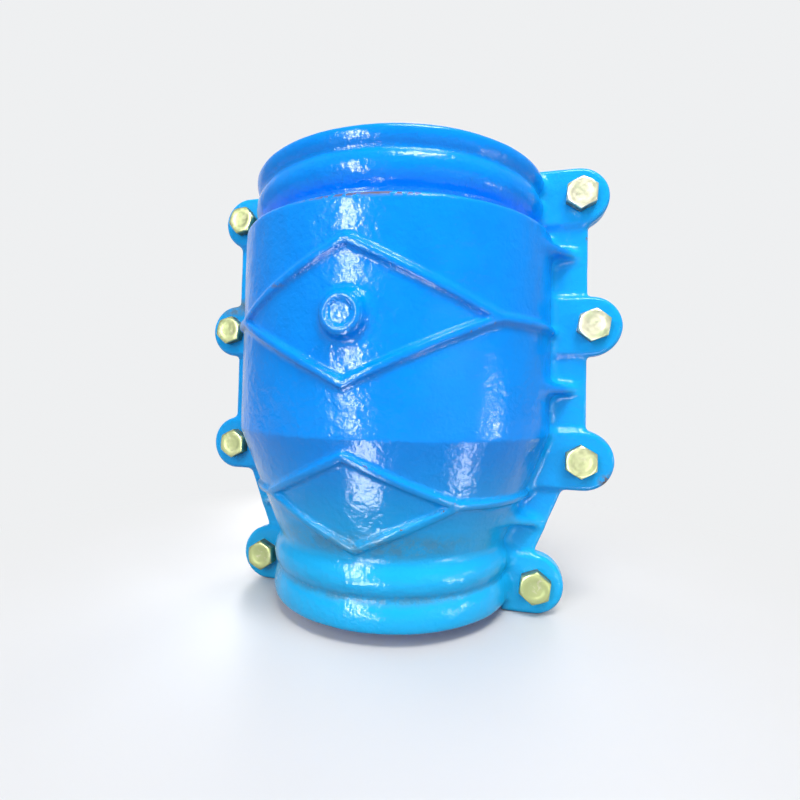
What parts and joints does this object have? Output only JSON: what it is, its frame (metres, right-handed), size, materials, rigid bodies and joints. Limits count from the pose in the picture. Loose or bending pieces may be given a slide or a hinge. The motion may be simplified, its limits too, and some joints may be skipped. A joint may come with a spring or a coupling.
{
  "type": "reducing pipe repair clamp",
  "caption": "Split cast clamp that bolts round the joint of a wide pipe and a narrower one, sealing both with rubber rings.",
  "frame": {"origin": "on the pipe axis, level with the lowest edge of the bottom ears", "axes": "+Z along the pipe axis to the wide end, X across the flanges, bolt heads on the -Y side"},
  "size_m": [0.338, 0.256, 0.33],
  "materials": {
    "casting": "glossy blue coating on cast iron",
    "seal": "matt moulded",
    "bolt": "yellow zinc plated",
    "washer": "yellow zinc plated",
    "nut": "yellow zinc plated"
  },
  "bodies": {
    "front_half": {"front_shell": "casting", "front_gasket": "seal"},
    "rear_half": {"rear_shell": "casting", "rear_gasket": "seal", "washer_top_right": "washer", "washer_top_left": "washer", "washer_upper_right": "washer", "washer_upper_left": "washer", "washer_lower_right": "washer", "washer_lower_left": "washer", "washer_bottom_right": "washer", "washer_bottom_left": "washer"},
    "bolt_top_right_body": {"bolt_top_right": "bolt"},
    "nut_top_right_body": {"nut_top_right": "nut"},
    "bolt_top_left_body": {"bolt_top_left": "bolt"},
    "nut_top_left_body": {"nut_top_left": "nut"},
    "bolt_upper_right_body": {"bolt_upper_right": "bolt"},
    "nut_upper_right_body": {"nut_upper_right": "nut"},
    "bolt_upper_left_body": {"bolt_upper_left": "bolt"},
    "nut_upper_left_body": {"nut_upper_left": "nut"},
    "bolt_lower_right_body": {"bolt_lower_right": "bolt"},
    "nut_lower_right_body": {"nut_lower_right": "nut"},
    "bolt_lower_left_body": {"bolt_lower_left": "bolt"},
    "nut_lower_left_body": {"nut_lower_left": "nut"},
    "bolt_bottom_right_body": {"bolt_bottom_right": "bolt"},
    "nut_bottom_right_body": {"nut_bottom_right": "nut"},
    "bolt_bottom_left_body": {"bolt_bottom_left": "bolt"},
    "nut_bottom_left_body": {"nut_bottom_left": "nut"}
  },
  "joints": [
    {"name": "rear_half_opening", "type": "slide", "parent": "front_half", "child": "rear_half", "axis": [0, 1, 0], "range_m": [0, 0.02]},
    {"name": "bolt_top_right_turn", "type": "hinge", "parent": "front_half", "child": "bolt_top_right_body", "pos_m": [0.1395, 0, 0.308], "axis": [0, 1, 0], "continuous": true},
    {"name": "nut_top_right_turn", "type": "hinge", "parent": "rear_half", "child": "nut_top_right_body", "pos_m": [0.1395, 0, 0.308], "axis": [0, 1, 0], "range_deg": [0, 3600]},
    {"name": "bolt_top_left_turn", "type": "hinge", "parent": "front_half", "child": "bolt_top_left_body", "pos_m": [-0.1395, 0, 0.308], "axis": [0, 1, 0], "continuous": true},
    {"name": "nut_top_left_turn", "type": "hinge", "parent": "rear_half", "child": "nut_top_left_body", "pos_m": [-0.1395, 0, 0.308], "axis": [0, 1, 0], "range_deg": [0, 3600]},
    {"name": "bolt_upper_right_turn", "type": "hinge", "parent": "front_half", "child": "bolt_upper_right_body", "pos_m": [0.1485, 0, 0.212], "axis": [0, 1, 0], "continuous": true},
    {"name": "nut_upper_right_turn", "type": "hinge", "parent": "rear_half", "child": "nut_upper_right_body", "pos_m": [0.1485, 0, 0.212], "axis": [0, 1, 0], "range_deg": [0, 3600]},
    {"name": "bolt_upper_left_turn", "type": "hinge", "parent": "front_half", "child": "bolt_upper_left_body", "pos_m": [-0.1485, 0, 0.212], "axis": [0, 1, 0], "continuous": true},
    {"name": "nut_upper_left_turn", "type": "hinge", "parent": "rear_half", "child": "nut_upper_left_body", "pos_m": [-0.1485, 0, 0.212], "axis": [0, 1, 0], "range_deg": [0, 3600]},
    {"name": "bolt_lower_right_turn", "type": "hinge", "parent": "front_half", "child": "bolt_lower_right_body", "pos_m": [0.141, 0, 0.114], "axis": [0, 1, 0], "continuous": true},
    {"name": "nut_lower_right_turn", "type": "hinge", "parent": "rear_half", "child": "nut_lower_right_body", "pos_m": [0.141, 0, 0.114], "axis": [0, 1, 0], "range_deg": [0, 3600]},
    {"name": "bolt_lower_left_turn", "type": "hinge", "parent": "front_half", "child": "bolt_lower_left_body", "pos_m": [-0.141, 0, 0.114], "axis": [0, 1, 0], "continuous": true},
    {"name": "nut_lower_left_turn", "type": "hinge", "parent": "rear_half", "child": "nut_lower_left_body", "pos_m": [-0.141, 0, 0.114], "axis": [0, 1, 0], "range_deg": [0, 3600]},
    {"name": "bolt_bottom_right_turn", "type": "hinge", "parent": "front_half", "child": "bolt_bottom_right_body", "pos_m": [0.1105, 0, 0.022], "axis": [0, 1, 0], "continuous": true},
    {"name": "nut_bottom_right_turn", "type": "hinge", "parent": "rear_half", "child": "nut_bottom_right_body", "pos_m": [0.1105, 0, 0.022], "axis": [0, 1, 0], "range_deg": [0, 3600]},
    {"name": "bolt_bottom_left_turn", "type": "hinge", "parent": "front_half", "child": "bolt_bottom_left_body", "pos_m": [-0.1105, 0, 0.022], "axis": [0, 1, 0], "continuous": true},
    {"name": "nut_bottom_left_turn", "type": "hinge", "parent": "rear_half", "child": "nut_bottom_left_body", "pos_m": [-0.1105, 0, 0.022], "axis": [0, 1, 0], "range_deg": [0, 3600]}
  ],
  "couplings": [
    {"joint": "nut_top_right_turn", "follows": "rear_half_opening", "rad_per_m": 3141.6},
    {"joint": "nut_top_left_turn", "follows": "rear_half_opening", "rad_per_m": 3141.6},
    {"joint": "nut_upper_right_turn", "follows": "rear_half_opening", "rad_per_m": 3141.6},
    {"joint": "nut_upper_left_turn", "follows": "rear_half_opening", "rad_per_m": 3141.6},
    {"joint": "nut_lower_right_turn", "follows": "rear_half_opening", "rad_per_m": 3141.6},
    {"joint": "nut_lower_left_turn", "follows": "rear_half_opening", "rad_per_m": 3141.6},
    {"joint": "nut_bottom_right_turn", "follows": "rear_half_opening", "rad_per_m": 3141.6},
    {"joint": "nut_bottom_left_turn", "follows": "rear_half_opening", "rad_per_m": 3141.6}
  ]
}
